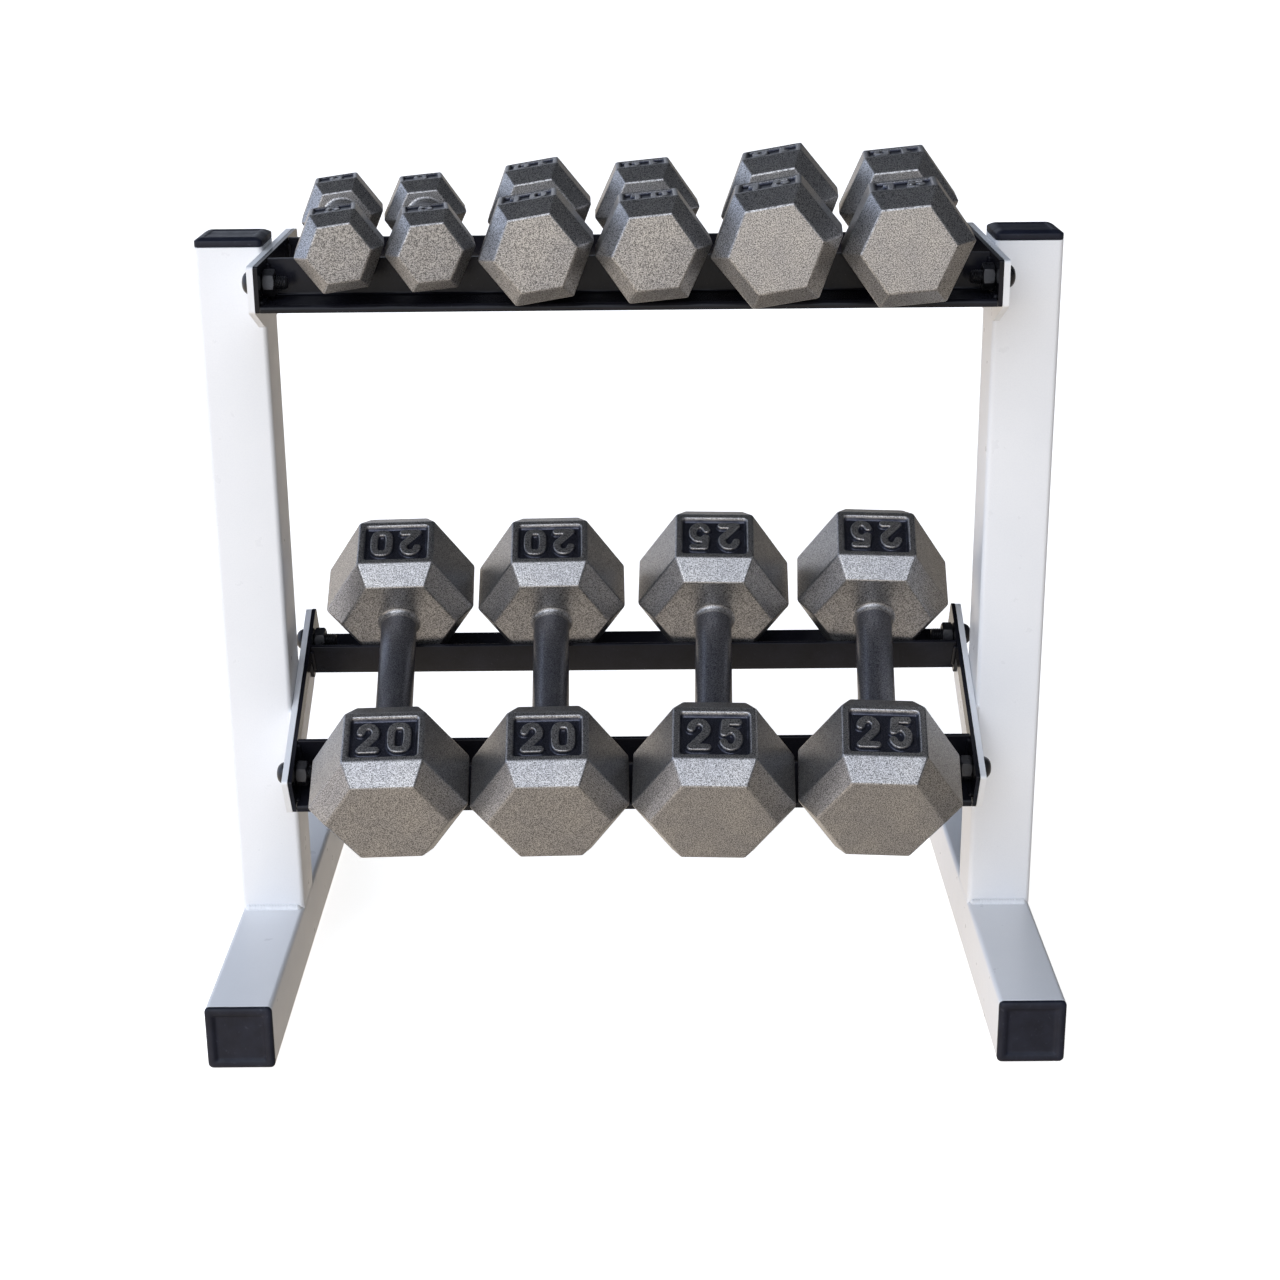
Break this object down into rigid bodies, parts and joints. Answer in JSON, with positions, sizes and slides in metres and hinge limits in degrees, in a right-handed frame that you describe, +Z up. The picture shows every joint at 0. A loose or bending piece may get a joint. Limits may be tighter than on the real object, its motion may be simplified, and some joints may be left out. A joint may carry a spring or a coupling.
{
  "type": "dumbbell rack",
  "caption": "Free-standing rack with white tubular side frames and black shelf rails that cradle cast-iron hexagonal dumbbells, each free to lift off.",
  "frame": {"origin": "on the floor, midway between the side frames and midway along the base tubes", "axes": "+Z up, -Y towards the front (the low side of the tilted shelf), +X to the right seen from the front"},
  "size_m": [0.637, 0.445, 0.6396],
  "materials": {
    "white_powder_coat": "satin powder coat over steel",
    "black_powder_coat": "gloss powder coat over steel",
    "black_plastic": "satin moulded plastic",
    "black_hardware": "black oxide steel",
    "grey_cast_iron": "grey hammertone enamel over cast iron"
  },
  "bodies": {
    "rack": {"base_cap_left_front": "black_plastic", "base_cap_left_rear": "black_plastic", "base_cap_right_front": "black_plastic", "base_cap_right_rear": "black_plastic", "base_tube_left": "white_powder_coat", "base_tube_right": "white_powder_coat", "bolt_lower_left_front": "black_hardware", "bolt_lower_left_rear": "black_hardware", "bolt_lower_right_front": "black_hardware", "bolt_lower_right_rear": "black_hardware", "bolt_upper_left_front": "black_hardware", "bolt_upper_left_rear": "black_hardware", "bolt_upper_right_front": "black_hardware", "bolt_upper_right_rear": "black_hardware", "bracket_lower_left": "white_powder_coat", "bracket_lower_right": "white_powder_coat", "bracket_upper_left": "white_powder_coat", "bracket_upper_right": "white_powder_coat", "end_plate_lower_left": "black_powder_coat", "end_plate_lower_right": "black_powder_coat", "end_plate_upper_left": "black_powder_coat", "end_plate_upper_right": "black_powder_coat", "nut_lower_left_front": "black_hardware", "nut_lower_left_rear": "black_hardware", "nut_lower_right_front": "black_hardware", "nut_lower_right_rear": "black_hardware", "nut_upper_left_front": "black_hardware", "nut_upper_left_rear": "black_hardware", "nut_upper_right_front": "black_hardware", "nut_upper_right_rear": "black_hardware", "rail_lower_front": "black_powder_coat", "rail_lower_rear": "black_powder_coat", "rail_upper_front": "black_powder_coat", "rail_upper_rear": "black_powder_coat", "upright_cap_left": "black_plastic", "upright_cap_right": "black_plastic", "upright_left": "white_powder_coat", "upright_right": "white_powder_coat"},
    "dumbbell_05_left": {"dumbbell_05_left": "grey_cast_iron"},
    "dumbbell_05_right": {"dumbbell_05_right": "grey_cast_iron"},
    "dumbbell_10_left": {"dumbbell_10_left": "grey_cast_iron"},
    "dumbbell_10_right": {"dumbbell_10_right": "grey_cast_iron"},
    "dumbbell_15_left": {"dumbbell_15_left": "grey_cast_iron"},
    "dumbbell_15_right": {"dumbbell_15_right": "grey_cast_iron"},
    "dumbbell_20_left": {"dumbbell_20_left": "grey_cast_iron"},
    "dumbbell_20_right": {"dumbbell_20_right": "grey_cast_iron"},
    "dumbbell_25_left": {"dumbbell_25_left": "grey_cast_iron"},
    "dumbbell_25_right": {"dumbbell_25_right": "grey_cast_iron"}
  },
  "joints": [
    {"name": "dumbbell_05_left_lift", "type": "slide", "parent": "rack", "child": "dumbbell_05_left", "axis": [0, 0, 1], "range_m": [0, 0.1]},
    {"name": "dumbbell_05_right_lift", "type": "slide", "parent": "rack", "child": "dumbbell_05_right", "axis": [0, 0, 1], "range_m": [0, 0.1]},
    {"name": "dumbbell_10_left_lift", "type": "slide", "parent": "rack", "child": "dumbbell_10_left", "axis": [0, 0, 1], "range_m": [0, 0.1]},
    {"name": "dumbbell_10_right_lift", "type": "slide", "parent": "rack", "child": "dumbbell_10_right", "axis": [0, 0, 1], "range_m": [0, 0.1]},
    {"name": "dumbbell_15_left_lift", "type": "slide", "parent": "rack", "child": "dumbbell_15_left", "axis": [0, 0, 1], "range_m": [0, 0.1]},
    {"name": "dumbbell_15_right_lift", "type": "slide", "parent": "rack", "child": "dumbbell_15_right", "axis": [0, 0, 1], "range_m": [0, 0.1]},
    {"name": "dumbbell_20_left_lift", "type": "slide", "parent": "rack", "child": "dumbbell_20_left", "axis": [0, -0.454, 0.891], "range_m": [0, 0.12]},
    {"name": "dumbbell_20_right_lift", "type": "slide", "parent": "rack", "child": "dumbbell_20_right", "axis": [0, -0.454, 0.891], "range_m": [0, 0.12]},
    {"name": "dumbbell_25_left_lift", "type": "slide", "parent": "rack", "child": "dumbbell_25_left", "axis": [0, -0.454, 0.891], "range_m": [0, 0.12]},
    {"name": "dumbbell_25_right_lift", "type": "slide", "parent": "rack", "child": "dumbbell_25_right", "axis": [0, -0.454, 0.891], "range_m": [0, 0.12]}
  ]
}
